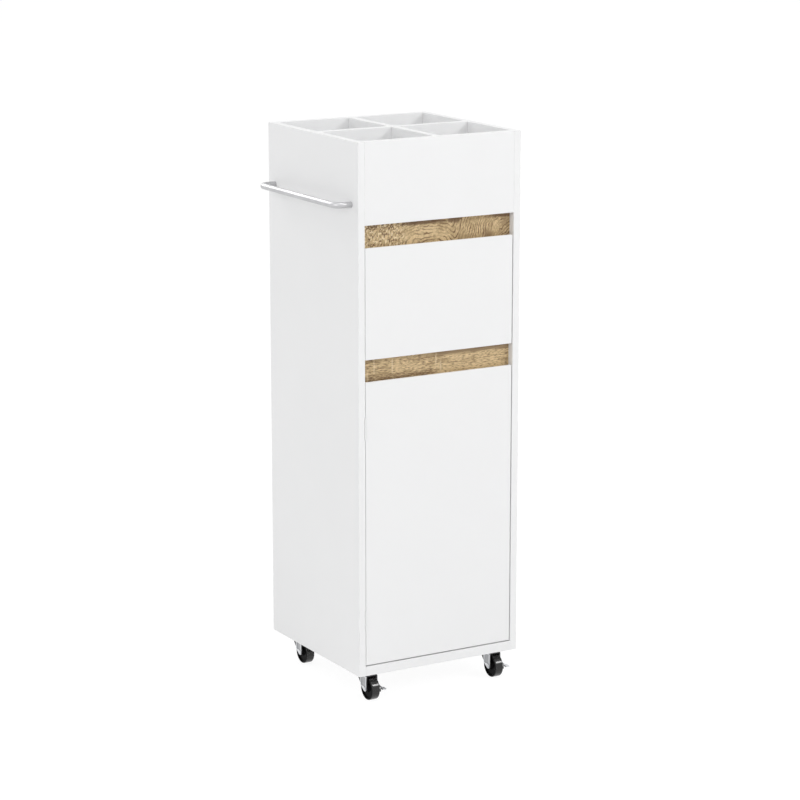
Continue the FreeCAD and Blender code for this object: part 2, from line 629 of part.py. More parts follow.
drawer_dowels = []
for side, node in DRAWER_SIDES.items():
    middle = f"({side} * ({DRAWER_IN} + drawer_board / 2))"
    for level in (f"({DRAWER_FOOT} + drawer_dowel_inset)",
                  f"({DRAWER_FOOT} + drawer_side_height - drawer_dowel_inset)"):
        bore("drawer_front", "dowel_diameter", "y", (f"{FRONTS_BACK} - {HOLE_IN_SIDE}", HOLE_IN_SIDE),
             (middle, level))
        bore(node, "dowel_diameter", "y", (FRONTS_BACK, HOLE_IN_END), (middle, level))
        drawer_dowels.append(rod("drawer_dowel", "dowel_diameter", "y",
                                 (f"{FRONTS_BACK} - dowel_in_side", "dowel_in_side + dowel_in_end"),
                                 (middle, level)))
        drawer_dowels.append(join_across(side, node, "drawer_back", DRAWER_IN,
                                         (f"{DRAWER_REAR} - drawer_board / 2", level)))
add_piece("drawer_dowels", group("drawer_dowels", drawer_dowels))

# Guide strips screwed to the side panels, with the screw heads sunk in the strip

GUIDE_START = f"({FRONTS_BACK} + guide_stop + guide_play)"
GUIDE_END = f"({DRAWER_REAR} - guide_rear_gap)"
GUIDE_FACE = f"({INNER} - guide_thickness)"
HEAD_SEAT = f"({GUIDE_FACE} + guide_play + screw_head_height)"
NECK = f"({INNER} - {HEAD_SEAT})"
GUIDE_NODES = {LEFT: "drawer_guide_left", RIGHT: "drawer_guide_right"}
panel_screws = []
for side, node in GUIDE_NODES.items():
    blanks[node] = block(f"{node}_blank", crossing(side, INNER, "0", "guide_thickness"),
                         between(GUIDE_START, GUIDE_END), (GUIDE_FOOT, "guide_height"))
    for y in (f"({GUIDE_START} + guide_screw_inset)", f"({GUIDE_END} - guide_screw_inset)"):
        at = (y, GUIDE_LEVEL)
        head = crossing(side, HEAD_SEAT, "0", "screw_head_height")
        take_from(node, fuse("guide_screw_way", [
            rod("guide_sink", loose("screw_head"), "x",
                crossing(side, GUIDE_FACE, "(guide_play + screw_head_height)", "0"), at),
            rod("guide_neck", loose("screw_diameter"), "x", crossing(side, INNER, "0", NECK), at),
        ]))
        bore(SIDE_NODES[side], "screw_diameter", "x",
             crossing(side, INNER, "(screw_depth + hole_end_play)", "0"), at)
        panel_screws.append(screw(
            "screw", "x", head, crossing(side, INNER, "screw_depth", NECK),
            crossing(side, f"({HEAD_SEAT} - screw_head_height)", "recess_depth", "0"), at))

# Door on two slim butt hinges let into its left edge and the left side panel

HINGE_AXIS = (f"(-{INNER} + left_gap / 2)", FRONT)
KNUCKLE = "(hinge_length / 3)"
KNUCKLE_ROOM = "barrel_diameter + 2 * knuckle_play"
blanks["door"] = bevelled_front("door_blank", DOOR_BOTTOM, f"({DOOR_TOP} - {DOOR_BOTTOM})")


def knuckle_rods(name, diameter, spans):
    """Round bars on the hinge axis."""
    return [rod(name, diameter, "z", span, HINGE_AXIS) for span in spans]


def leaf_screws(node, leaf, shank, recess, foot):
    """Two flush screws through a hinge leaf into a board, and the holes that they need in the leaf."""
    holes = []
    screws = []
    for z in (f"({foot} + hinge_screw_inset)", f"({foot} + hinge_length - hinge_screw_inset)"):
        at = (f"{FRONT} + hinge_screw_back", z)
        bore(node, "hinge_screw_diameter", "x", shank, at)
        holes.append(rod("leaf_hole", loose("hinge_screw_head"), "x", leaf, at))
        screws.append(screw("hinge_screw", "x", leaf, shank, recess, at))
    return holes, screws


def hinge_leaf(name, node, leaf, foot, knuckles, room, holes):
    """A leaf let into a board: a plate with its own knuckles and room for those of the other leaf."""
    plate = (leaf, (FRONT, "leaf_width"), (foot, "hinge_length"))
    whole = [(foot, "hinge_length")]
    take_from(node, fuse(f"{name}_mortise",
                         [block(f"{name}_bed", *plate)] + knuckle_rods("barrel_room", KNUCKLE_ROOM, whole)))
    trimmed = cut(f"{name}_plate", block(f"{name}_sheet", *plate),
                  knuckle_rods("knuckle_room", KNUCKLE_ROOM, room))
    barrel = knuckle_rods("knuckle", "barrel_diameter", knuckles)
    pin_way = knuckle_rods("pin_way", "hinge_pin_diameter + 2 * hinge_pin_play", whole)
    return cut(name, fuse(f"{name}_blank", [trimmed] + barrel), pin_way + holes)


PANEL_LEAF = crossing(LEFT, INNER, "leaf_sheet", "0")
PANEL_SHANK = crossing(LEFT, f"({INNER} + leaf_sheet)", "hinge_screw_depth", "0")
PANEL_RECESS = crossing(LEFT, INNER, "recess_depth", "0")
DOOR_LEAF = crossing(LEFT, FRONT_LEFT, "0", "leaf_sheet")
DOOR_SHANK = crossing(LEFT, f"({FRONT_LEFT} - leaf_sheet)", "0", "hinge_screw_depth")
DOOR_RECESS = crossing(LEFT, FRONT_LEFT, "0", "recess_depth")
panel_leaves = []
door_leaves = []
hinge_pins = []
hinge_panel_screws = []
door_screws = []
for level in (f"({DOOR_TOP} - hinge_inset)", f"({DOOR_BOTTOM} + hinge_inset)"):
    foot = f"({level} - hinge_length / 2)"
    lower_end = f"({foot} + {KNUCKLE})"
    upper_end = f"({foot} + 2 * {KNUCKLE})"
    outer_knuckles = [(foot, f"{KNUCKLE} - knuckle_play"),
                      (f"{upper_end} + knuckle_play", f"{KNUCKLE} - knuckle_play")]
    outer_room = [(foot, KNUCKLE), (upper_end, KNUCKLE)]
    middle_room = [(f"{lower_end} - knuckle_play", f"{KNUCKLE} + 2 * knuckle_play")]
    holes, screws = leaf_screws("side_panel_left", PANEL_LEAF, PANEL_SHANK, PANEL_RECESS, foot)
    hinge_panel_screws += screws
    panel_leaves.append(hinge_leaf("panel_leaf", "side_panel_left", PANEL_LEAF, foot, outer_knuckles,
                                   middle_room, holes))
    holes, screws = leaf_screws("door", DOOR_LEAF, DOOR_SHANK, DOOR_RECESS, foot)
    door_screws += screws
    door_leaves.append(hinge_leaf("door_leaf", "door", DOOR_LEAF, foot, [(lower_end, KNUCKLE)],
                                  outer_room, holes))
    hinge_pins += knuckle_rods("hinge_pin", "hinge_pin_diameter", [(foot, "hinge_length")])
add_piece("hinge_panel_leaves", group("hinge_panel_leaves", panel_leaves))
add_piece("hinge_door_leaves", group("hinge_door_leaves", door_leaves))
add_piece("hinge_pins", group("hinge_pins", hinge_pins))
add_piece("hinge_panel_screws", group("hinge_panel_screws", hinge_panel_screws))

# Magnet catch screwed to the right side panel by its flange, and its strike plate screwed to the door

CATCH_FOOT = f"({DOOR_TOP} - catch_drop - catch_height / 2)"
CATCH_DEEP = (f"({FRONTS_BACK} + strike_sheet + catch_gap)", "catch_depth")
CATCH_MIDDLE = f"({FRONTS_BACK} + strike_sheet + catch_gap + catch_depth / 2)"
FLANGE = crossing(RIGHT, INNER, "0", "catch_flange")
flange_holes = []
for level in (f"({CATCH_FOOT} - catch_ear / 2)", f"({CATCH_FOOT} + catch_height + catch_ear / 2)"):
    at = (CATCH_MIDDLE, level)
    flange_holes.append(rod("flange_hole", loose("screw_diameter"), "x", FLANGE, at))
    bore("side_panel_right", "screw_diameter", "x",
         crossing(RIGHT, INNER, "(screw_depth + hole_end_play)", "0"), at)
    panel_screws.append(screw(
        "screw", "x", crossing(RIGHT, f"({INNER} - catch_flange)", "0", "screw_head_height"),
        crossing(RIGHT, INNER, "screw_depth", "catch_flange"),
        crossing(RIGHT, f"({INNER} - catch_flange - screw_head_height)", "recess_depth", "0"), at))
add_piece("magnet_catch", cut("magnet_catch", fuse("magnet_catch_whole", [
    block("magnet_catch_case", crossing(RIGHT, INNER, "0", "catch_width"), CATCH_DEEP,
          (CATCH_FOOT, "catch_height")),
    block("magnet_catch_flange", FLANGE, CATCH_DEEP,
          (f"{CATCH_FOOT} - catch_ear", "catch_height + 2 * catch_ear")),
]), flange_holes))

STRIKE = (FRONTS_BACK, "strike_sheet")
strike_at = (f"({FRONT_RIGHT} - strike_edge - strike_width / 2)", f"({CATCH_FOOT} + catch_height / 2)")
strike_shank = (f"({FRONTS_BACK} - hinge_screw_depth)", "hinge_screw_depth")
bore("door", "hinge_screw_diameter", "y", strike_shank, strike_at)
door_screws.append(screw("hinge_screw", "y", STRIKE, strike_shank,
                         (f"({FRONTS_BACK} + strike_sheet - recess_depth)", "recess_depth"), strike_at))
add_piece("strike_plate", cut("strike_plate", block(
    "strike_sheet", crossing(RIGHT, f"({FRONT_RIGHT} - strike_edge)", "0", "strike_width"), STRIKE,
    (CATCH_FOOT, "catch_height"),
), [rod("strike_hole", loose("hinge_screw_head"), "y", STRIKE, strike_at)]))
add_piece("door_screws", group("door_screws", door_screws))

# Casters: a plate screwed under the bottom panel, a pressed fork that swivels on a kingpin,
# a wheel on a riveted axle, and at the front a brake lever over a friction disc on the same axle

WHEEL_RADIUS = "(wheel_diameter / 2)"
PLATE_FOOT = f"({UNDERSIDE} - plate_sheet)"
RACE_FOOT = f"({PLATE_FOOT} - race_height)"
FORK_TOP = f"({RACE_FOOT} - race_gap)"
WEB_UNDER = f"({FORK_TOP} - fork_sheet)"
HALF_GAP = "(wheel_width / 2 + wheel_side_gap)"
HALF_FORK = f"({HALF_GAP} + fork_sheet)"
THROUGH_FORK = centred(f"(2 * ({HALF_FORK} + fork_sheet))")
AXLE_Y = "(-caster_trail)"
FORK_FRONT = f"({AXLE_Y} - fork_boss)"
FORK_FOOT = f"({WHEEL_RADIUS} - fork_toe)"
BRAKE_STACK = "(brake_disc + lever_hub + 2 * lever_play)"
CASTERS = {"front_left": (-1, -1), "front_right": (1, -1), "rear_left": (-1, 1), "rear_right": (1, 1)}

FORK_ARM = [(FORK_FRONT, FORK_TOP), (FORK_FRONT, FORK_FOOT), (f"{AXLE_Y} + fork_foot", FORK_FOOT),
            ("-fork_rear", "fork_knee"), ("-fork_rear", FORK_TOP)]
GUSSET = [("-fork_rear", "fork_knee"), ("gusset_rear", "gusset_foot"), ("gusset_rear", FORK_TOP),
          ("-fork_rear", FORK_TOP)]


def foot_edge(edge):
    """The two edges across the foot of the fork arms."""
    lowest = sheet.wheel_diameter / 2 - sheet.fork_toe
    low = min(vertex.Point.z for vertex in edge.Vertexes)
    return runs_along("x")(edge) and low < lowest + PICK


def bend_edge(edge):
    """The two outer bends along the top of the fork."""
    top = sheet.caster_height - sheet.plate_sheet - sheet.race_height - sheet.race_gap
    high = max(vertex.Point.z for vertex in edge.Vertexes)
    return runs_along("y")(edge) and high > top - PICK


def tread_edge(edge):
    """The two rims of the tread."""
    curve = edge.Curve
    return curve.TypeId == "Part::GeomCircle" and curve.Radius > sheet.wheel_diameter / 2 - PICK


def make_fork(name, x, y):
    """A fork pressed from sheet steel: bent arms with sunk panels, gussets and a swivel disc."""
    profile = doc.addObject("PartDesign::Body", f"{name}_profile")
    arm = polygon(profile, f"{name}_arm", "YZ_Plane", FORK_ARM)
    fillet(profile, pad(profile, arm, f"2 * ({HALF_FORK} + fork_sheet)"), "fork_round", foot_edge)
    gusset = doc.addObject("PartDesign::Body", f"{name}_gusset")
    gusset_side = polygon(gusset, f"{name}_gusset_side", "YZ_Plane", GUSSET)
    pad(gusset, gusset_side, f"2 * ({HALF_FORK} - gusset_step)")
    channel = doc.addObject("PartDesign::Body", f"{name}_channel")
    bend = polygon(channel, f"{name}_bend", "XZ_Plane", [
        (f"-{HALF_FORK}", "0"), (f"-{HALF_GAP}", "0"), (f"-{HALF_GAP}", WEB_UNDER), (HALF_GAP, WEB_UNDER),
        (HALF_GAP, "0"), (HALF_FORK, "0"), (HALF_FORK, FORK_TOP), (f"-{HALF_FORK}", FORK_TOP),
    ])
    fillet(channel, pad(channel, bend, "2 * (caster_trail + fork_boss)"), "fork_bend", bend_edge)
    swivel = ("0", "0")
    members = [
        common(f"{name}_arms", profile, channel),
        common(f"{name}_gussets", gusset, channel),
        rod("fork_disc", "fork_disc_diameter", "z", (WEB_UNDER, "fork_sheet"), swivel),
    ]
    tools = [
        rod("fork_kingpin_hole", running("kingpin_diameter"), "z", (WEB_UNDER, "fork_sheet"), swivel),
        rod("fork_axle_hole", loose("axle_diameter"), "x", THROUGH_FORK, (AXLE_Y, WHEEL_RADIUS)),
    ]
    for side in (LEFT, RIGHT):
        tools.append(block("arm_panel", crossing(side, HALF_FORK, "0", "arm_panel"),
                           between(f"({FORK_FRONT} + arm_rim)", "(-fork_rear - arm_rim)"),
                           between("fork_knee", f"({FORK_TOP} - fork_bend)")))
    return place(cut(name, fuse(f"{name}_whole", members), tools), (x, y, "0"))


def make_wheel(name, x, y):
    """A black wheel with a rounded tread, recessed sides and a hub bored for the axle."""
    body = doc.addObject("PartDesign::Body", name)
    half = "wheel_width / 2"
    floor = f"{half} - wheel_recess"
    hub, rim = "wheel_hub_diameter / 2", "wheel_rim_inside / 2"
    right = [(half, f"({running('axle_diameter')}) / 2"), (half, hub), (floor, f"{hub} + wheel_taper"),
             (floor, rim), (half, f"{rim} + wheel_taper"), (half, WHEEL_RADIUS)]
    left = [(f"-({across})", up) for across, up in reversed(right)]
    section = polygon(body, f"{name}_section", "XZ_Plane", right + left)
    turned = body.newObject("PartDesign::Revolution", f"{name}_turned")
    turned.Profile = section
    turned.ReferenceAxis = (section, ["H_Axis"])
    turned.Angle = 360
    fillet(body, turned, "wheel_shoulder", tread_edge)
    return place(body, (x, f"{y} + {AXLE_Y}", WHEEL_RADIUS))


def make_axle(name, x, y, stack):
    """A pin through the arms and the wheel, riveted over on the left arm and, on the right, on the stack."""
    at = (f"{y} + {AXLE_Y}", WHEEL_RADIUS)
    left_face = f"{x} - {HALF_FORK}"
    length = f"2 * {HALF_FORK} + {stack}"
    members = [rod(f"{name}_shank", "axle_diameter", "x", (left_face, length), at)]
    for start in (f"{left_face} - axle_head_height", f"{left_face} + {length}"):
        members.append(rod(f"{name}_head", "axle_head_diameter", "x", (start, "axle_head_height"), at))
    return fuse(name, members)


def make_brake_disc(name, x, y):
    """The friction disc on the axle, outside the right arm of the fork, with a peg that stops the lever."""
    face = f"{x} + {HALF_FORK}"
    across, up = f"{y} + {AXLE_Y}", WHEEL_RADIUS
    disc = rod(f"{name}_round", "brake_disc_diameter", "x", (face, "brake_disc"), (across, up))
    peg = rod(f"{name}_peg", "stop_diameter", "x", (face, BRAKE_STACK),
              (f"{across} - stop_ahead", f"{up} - stop_below"))
    hole = rod(f"{name}_hole", loose("axle_diameter"), "x", (face, "brake_disc"), (across, up))
    return cut(name, fuse(f"{name}_whole", [disc, peg]), [hole])


def make_lever(name, x, y):
    """A lever that turns on the axle: a hub, a strip that bends forward and a wider toe to step on."""
    strip = doc.addObject("PartDesign::Body", f"{name}_strip")
    hub_top = "lever_hub_diameter / 2"
    toe_foot = "lever_rise - lever_sheet"
    strip_end = "-lever_reach + lever_corner"
    pad(strip, polygon(strip, f"{name}_bend", "YZ_Plane", [
        ("0", hub_top), ("-lever_knee", "lever_rise"), (strip_end, "lever_rise"), (strip_end, toe_foot),
        ("-lever_knee", toe_foot), ("0", f"{hub_top} - lever_sheet"),
    ]), "lever_hub")
    toe = doc.addObject("PartDesign::Body", f"{name}_toe")
    toe_side = polygon(toe, f"{name}_toe_side", "YZ_Plane", [
        ("-lever_knee", "lever_rise"), ("-lever_reach", "lever_rise"), ("-lever_reach", toe_foot),
        ("-lever_knee", toe_foot),
    ])
    fillet(toe, pad(toe, toe_side, "lever_toe_width"), "lever_corner", runs_along("z"))
    hub = rod(f"{name}_hub", "lever_hub_diameter", "x", centred("lever_hub"), ("0", "0"))
    way = rod(f"{name}_way", running("axle_diameter"), "x", centred("lever_hub"), ("0", "0"))
    lever = cut(name, fuse(f"{name}_whole", [strip, toe, hub]), [way])
    middle = f"{x} + {HALF_FORK} + brake_disc + lever_play + lever_hub / 2"
    return place(lever, (middle, f"{y} + {AXLE_Y}", WHEEL_RADIUS))


def plate_screw_places(x, y):
    """The four corners of a caster plate that take screws."""
    reach = "(plate_size / 2 - plate_screw_inset)"
    corners = [(-1, -1), (1, -1), (1, 1), (-1, 1)]
    return [(f"{x} + {across} * {reach}", f"{y} + {back} * {reach}") for across, back in corners]


def make_plate(name, x, y):
    """The fixed caster plate with its swivel race pressed out below, and the holes for its four screws."""
    half = "plate_size / 2"
    flat = doc.addObject("PartDesign::Body", f"{name}_sheet")
    square = polygon(flat, f"{name}_outline", "XY_Plane",
                     [(f"-{half}", f"-{half}"), (half, f"-{half}"), (half, half), (f"-{half}", half)])
    fillet(flat, pad(flat, square, "plate_sheet", "One side"), "plate_corner", runs_along("z"))
    place(flat, (x, y, PLATE_FOOT))
    race = doc.addObject("Part::Cone", f"{name}_race")
    bind(race, {"Radius1": "race_diameter / 2 - race_taper", "Radius2": "race_diameter / 2",
                "Height": "race_height"})
    place(race, (x, y, RACE_FOOT))
    tools = [rod("plate_kingpin_hole", loose("kingpin_diameter"), "z", between(RACE_FOOT, UNDERSIDE), (x, y))]
    for at in plate_screw_places(x, y):
        tools.append(rod("plate_screw_hole", loose("screw_diameter"), "z", (PLATE_FOOT, "plate_sheet"), at))
    return cut(name, fuse(f"{name}_whole", [flat, race]), tools)


def plate_screw(at):
    """A screw through the caster plate into the bottom panel."""
    bore("bottom_panel", "screw_diameter", "z", (UNDERSIDE, "screw_depth + hole_end_play"), at)
    head_foot = f"({PLATE_FOOT} - screw_head_height)"
    return screw("screw", "z", (head_foot, "screw_head_height"), (PLATE_FOOT, "plate_sheet + screw_depth"),
                 (head_foot, "recess_depth"), at)


def make_kingpin(at):
    """The pivot riveted into the caster plate, with the fork hanging on its head."""
    head_top = f"({WEB_UNDER} - kingpin_gap)"
    head = (f"{head_top} - kingpin_head_height", "kingpin_head_height")
    return fuse("kingpin", [
        rod("kingpin_shank", "kingpin_diameter", "z", between(head_top, UNDERSIDE), at),
        rod("kingpin_foot", "kingpin_head", "z", head, at),
    ])


kingpins = []
for corner, (x_sign, y_sign) in CASTERS.items():
    x = f"({x_sign} * ({HALF_WIDTH} - caster_inset_side))"
    y = f"({y_sign} * ({BACK} - caster_inset_end))"
    braked = y_sign < 0
    add_piece(f"caster_plate_{corner}", make_plate(f"caster_plate_{corner}", x, y))
    add_piece(f"fork_{corner}", make_fork(f"fork_{corner}", x, y))
    add_piece(f"axle_{corner}", make_axle(f"axle_{corner}", x, y, BRAKE_STACK if braked else "0"))
    add_piece(f"wheel_{corner}", make_wheel(f"wheel_{corner}", x, y))
    if braked:
        add_piece(f"brake_disc_{corner}", make_brake_disc(f"brake_disc_{corner}", x, y))
        add_piece(f"brake_lever_{corner}", make_lever(f"brake_lever_{corner}", x, y))
    kingpins.append(make_kingpin((x, y)))
    panel_screws += [plate_screw(at) for at in plate_screw_places(x, y)]
add_piece("caster_kingpins", group("caster_kingpins", kingpins))
add_piece("panel_screws", group("panel_screws", panel_screws))

# Boards with their grooves, holes and mortises

for node, blank in blanks.items():
    add_piece(node, cut(node, blank, cuts[node]) if node in cuts else blank)

doc.recompute()

# Every object must have built, and every sub-part must hold sound solids, before anything is written

failed = [thing.Name for thing in doc.Objects if {"Invalid", "Error"} & set(thing.State)]
if failed:
    raise RuntimeError(f"these objects did not build: {failed}")
for thing in pieces:
    if thing.Shape.isNull() or not thing.Shape.isValid() or not thing.Shape.Solids:
        raise RuntimeError(f"{thing.Label} has no sound solid")

os.makedirs("parts", exist_ok=True)
for thing in pieces:
    thing.Shape.exportStep(f"parts/{thing.Label}.step")
    print(f"{thing.Label}: {len(thing.Shape.Solids)} solid(s), {thing.Shape.Volume / 1000:.2f} cm3")
print(f"{len(pieces)} nodes")
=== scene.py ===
import math

import bpy
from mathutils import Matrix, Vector


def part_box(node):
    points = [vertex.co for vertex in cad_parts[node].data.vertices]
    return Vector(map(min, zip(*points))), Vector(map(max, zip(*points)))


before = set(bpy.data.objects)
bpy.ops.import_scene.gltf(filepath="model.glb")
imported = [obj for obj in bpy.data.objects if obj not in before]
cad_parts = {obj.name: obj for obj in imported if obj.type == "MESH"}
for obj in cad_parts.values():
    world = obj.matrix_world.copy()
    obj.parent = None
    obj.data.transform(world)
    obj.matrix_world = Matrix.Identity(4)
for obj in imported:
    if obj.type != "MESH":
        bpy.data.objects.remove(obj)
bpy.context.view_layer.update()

# Carcass: side panels, bottom, mid panel, tray floor, fascia and tray back board
# Chipboard faced with white melamine and edged to match; only drilled and grooved places show the core
# The boards meet on dowels and cam fittings, so no fixing shows on the outside faces
BOARD_WHITE = (0.885, 0.887, 0.89, 1)
BOARD_CLOUD = (0.868, 0.87, 0.873, 1)
EDGE_WORN = (0.80, 0.80, 0.79, 1)
CORE_TAN = (0.47, 0.34, 0.21, 1)
CORE_BROWN = (0.24, 0.16, 0.09, 1)
FACING_DEPTH = (0.00035, 0.0006)
EDGE_LINE = (0.0001, 0.0008)


class Recipe:
    """A value on its way through a finish, so that shader maths reads as plain arithmetic."""

    def __init__(self, socket):
        self.socket = socket
        self.tree = socket.id_data

    def node(self, kind, settings, sockets, output=0):
        """Add any node: its settings first, then the values or links of its sockets."""
        made = self.tree.nodes.new(kind)
        for name, value in settings.items():
            setattr(made, name, value)
        for name, value in sockets.items():
            if isinstance(value, Recipe):
                self.tree.links.new(value.socket, made.inputs[name])
            else:
                made.inputs[name].default_value = value
        return Recipe(made.outputs[output])

    def math(self, operation, *values):
        """A Math node on this value and others."""
        return self.node("ShaderNodeMath", {"operation": operation}, dict(enumerate((self,) + values)))

    def __add__(self, other):
        return self.math("ADD", other)

    __radd__ = __add__

    def __sub__(self, other):
        return self.math("SUBTRACT", other)

    def __rsub__(self, other):
        return (-self).math("ADD", other)

    def __mul__(self, other):
        return self.math("MULTIPLY", other)

    __rmul__ = __mul__

    def __neg__(self):
        return self.math("MULTIPLY", -1)

    def __abs__(self):
        return self.math("ABSOLUTE")


def start_finish(name):
    """A new finish: its material, its shader and the place on the piece in metres."""
    material = bpy.data.materials.new(name)
    material.use_nodes = True
    shader = next(n for n in material.node_tree.nodes if n.type == "BSDF_PRINCIPLED")
    place = material.node_tree.nodes.new("ShaderNodeTexCoord").outputs["Object"]
    return material, shader, Recipe(place)


def wire(shader, **inputs):
    """Set the shader's sockets, or link what varies over the surface."""
    for name, value in inputs.items():
        socket = shader.inputs[name.replace("_", " ")]
        if isinstance(value, Recipe):
            value.tree.links.new(value.socket, socket)
        else:
            socket.default_value = value


def axes_of(place):
    """The three coordinates of a place."""
    split = place.node("ShaderNodeSeparateXYZ", {}, {0: place}).socket.node
    return [Recipe(split.outputs[axis]) for axis in "XYZ"]


def speckle(place, scale, detail=3.0, stretch=(1, 1, 1)):
    """Soft noise on the piece, with so many grains to a metre, drawn out by stretch."""
    drawn = place.node("ShaderNodeVectorMath", {"operation": "MULTIPLY"}, {0: place, 1: stretch})
    return place.node("ShaderNodeTexNoise", {}, {"Vector": drawn, "Scale": scale, "Detail": detail}, "Fac")


def fade(value, low, high):
    """Nought below low, one above high, and a smooth rise between."""
    return value.node("ShaderNodeMapRange", {"interpolation_type": "SMOOTHSTEP"},
                      {"Value": value, "From Min": low, "From Max": high})


def blend_colour(amount, first, second):
    """One colour going over into another."""
    return amount.node("ShaderNodeMix", {"data_type": "RGBA"}, {0: amount, 6: first, 7: second}, 2)


def relief(height, depth, strength=1.0):
    """Surface relief of that depth in metres."""
    return height.node("ShaderNodeBump", {}, {"Height": height, "Distance": depth, "Strength": strength})


def inset_from_faces(place, node):
    """How far a point lies inside the board's outer faces, and how far from its nearest edge."""
    low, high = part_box(node)
    insets = []
    for at, start, end in zip(axes_of(place), low, high):
        insets.append((end - start) / 2 - abs(at - (start + end) / 2))
    near = insets[0].math("MINIMUM", insets[1])
    far = insets[0].math("MAXIMUM", insets[1])
    face = near.math("MINIMUM", insets[2])
    edge = near.math("MAXIMUM", far.math("MINIMUM", insets[2]))
    return face, edge


def white_board(node, core=True):
    """Melamine white with a faint orange peel, a worn line along the edges and bare core in the cuts."""
    material, shader, place = start_finish(f"{node}_white")
    face, edge = inset_from_faces(place, node)
    cloud = speckle(place, 9)
    peel = speckle(place, 1400, 1)
    rub = fade(speckle(place, 70), 0.50, 0.72) * (1 - fade(edge, *EDGE_LINE))
    tone = blend_colour(cloud, BOARD_WHITE, BOARD_CLOUD)
    tone = blend_colour(rub, tone, EDGE_WORN)
    roughness = 0.36 + 0.12 * cloud + 0.15 * rub
    if core:
        bare = fade(face, *FACING_DEPTH)
        chips = place.node("ShaderNodeTexVoronoi", {}, {"Vector": place, "Scale": 420}, "Color")
        chip = place.node("ShaderNodeSeparateColor", {}, {0: chips})
        tone = blend_colour(bare, tone, blend_colour(chip, CORE_TAN, CORE_BROWN))
        roughness = roughness + bare * 0.4
    wire(shader, Base_Color=tone, Roughness=roughness, Normal=relief(peel, 0.00003, 0.6), IOR=1.48)
    return material


def dress(material, *nodes):
    """Give a finish to CAD nodes."""
    for node in nodes:
        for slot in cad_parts[node].material_slots:
            slot.material = material


for node in ("side_panel_left", "side_panel_right", "bottom_panel", "mid_panel", "tray_floor", "fascia",
             "tray_back_board"):
    dress(white_board(node), node)

# Grip rails: the two oak strips behind the finger recesses, under the tray floor and the mid panel
# Solid oak with a clear matt finish. The upper one is cut where the grain turns round a knot,
# the lower one is straight grained, with pale flecks across it
# Both strips are darkened along their top edge with painted shade from the board above
OAK_PALE = (0.74, 0.56, 0.315, 1)
OAK_TAN = (0.43, 0.305, 0.155, 1)
OAK_BROWN = (0.135, 0.066, 0.030, 1)
OAK_FLECK = (0.84, 0.69, 0.45, 1)
STRIP_OPEN = 0.036
STRIP_HIDDEN = 0.003
RING_WIDTH = 0.005
FINE_RINGS = 2.4
KNOT = (-0.010, -0.006)
SECOND_KNOT = (0.180, -0.030)
SECOND_RING = 0.12
WEDGE = (0.034, STRIP_OPEN)
STAIN = (-0.028, 0.004)
FLECKS = ((-0.127, 0.000, 0.018), (-0.1145, 0.016, 0.036), (-0.081, 0.012, 0.036),
          (0.000, 0.016, 0.036), (0.009, 0.004, 0.022))
FLECK_FADE = 0.006


def finish_oak(material, shader, place, figure, dark, pale):
    """Oak from its figure, its dark lines and its pale flecks, with fine pores over all of it."""
    pores = fade(speckle(place, 300, 3, (1, 4, 6)), 0.58, 0.70)
    tone = blend_colour(figure, OAK_PALE, OAK_TAN)
    tone = blend_colour(pores * 0.35, tone, OAK_BROWN)
    tone = blend_colour(dark, tone, OAK_BROWN)
    tone = blend_colour(pale, tone, OAK_FLECK)
    depth = figure * 0.3 + dark * 0.5 + pores * 0.5
    wire(shader, Base_Color=tone, Roughness=0.5 + 0.16 * figure, IOR=1.47,
         Normal=relief(1 - depth, 0.0003, 0.7))
    return material


def along_strip(node, place):
    """A place on a strip: along it from the middle of the cabinet, and up from the foot of its open part."""
    low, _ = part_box(node)
    x, _, z = axes_of(place)
    return x, z - (low.z + STRIP_HIDDEN)


def away_from(point, along, up, squeeze=1.0):
    """The distance from a point of a face, with the face squeezed along its length."""
    run = (along - point[0]) * squeeze
    rise = up - point[1]
    return (run * run + rise * rise).math("SQRT")


def strongest(first, *others):
    """The greatest of several values."""
    for other in others:
        first = first.math("MAXIMUM", other)
    return first


def ring_lines(place, x, up, ripple):
    """Rings that arch over the knot and run into the rings of a second knot beyond the strip."""
    wander = speckle(place, 20, 3) - 0.5
    arches = away_from(KNOT, x, up, 0.62)
    slant = away_from(SECOND_KNOT, x, up) - SECOND_RING
    rings = arches.math("SMOOTH_MIN", slant, 0.008) + wander * 0.034 + ripple
    wave = (rings * (math.tau / RING_WIDTH)).math("SINE")
    fine = (rings * (FINE_RINGS * math.tau / RING_WIDTH)).math("SINE")
    depth = 0.18 + fade(speckle(place, 55), 0.36, 0.62) * 0.72
    lines = fade(wave, 0.25, 1.0) * depth
    return lines + fade(fine, 0.2, 1.0) * fade(speckle(place, 90), 0.45, 0.7) * 0.25


def dark_top(place, x, up, left):
    """A dark upper edge, partly grain and partly painted shade under the board above: stripes at the left, a
    band over the knot, and the right corner.
    """
    # Painted shade: the top few millimetres of the open strip darken where the board above overhangs it
    painted_top_shade = fade(up, STRIP_OPEN - 0.006, STRIP_OPEN - 0.001)
    stripes = fade(speckle(place, 230, 1, (1, 1, 0.15)), 0.40, 0.60)
    band = fade(x, -0.075, -0.05) * (1 - fade(x, 0.0, 0.03))
    corner = fade(x, 0.08, 0.115)
    return painted_top_shade * (left * stripes + band + corner).math("MINIMUM", 1) * 0.8


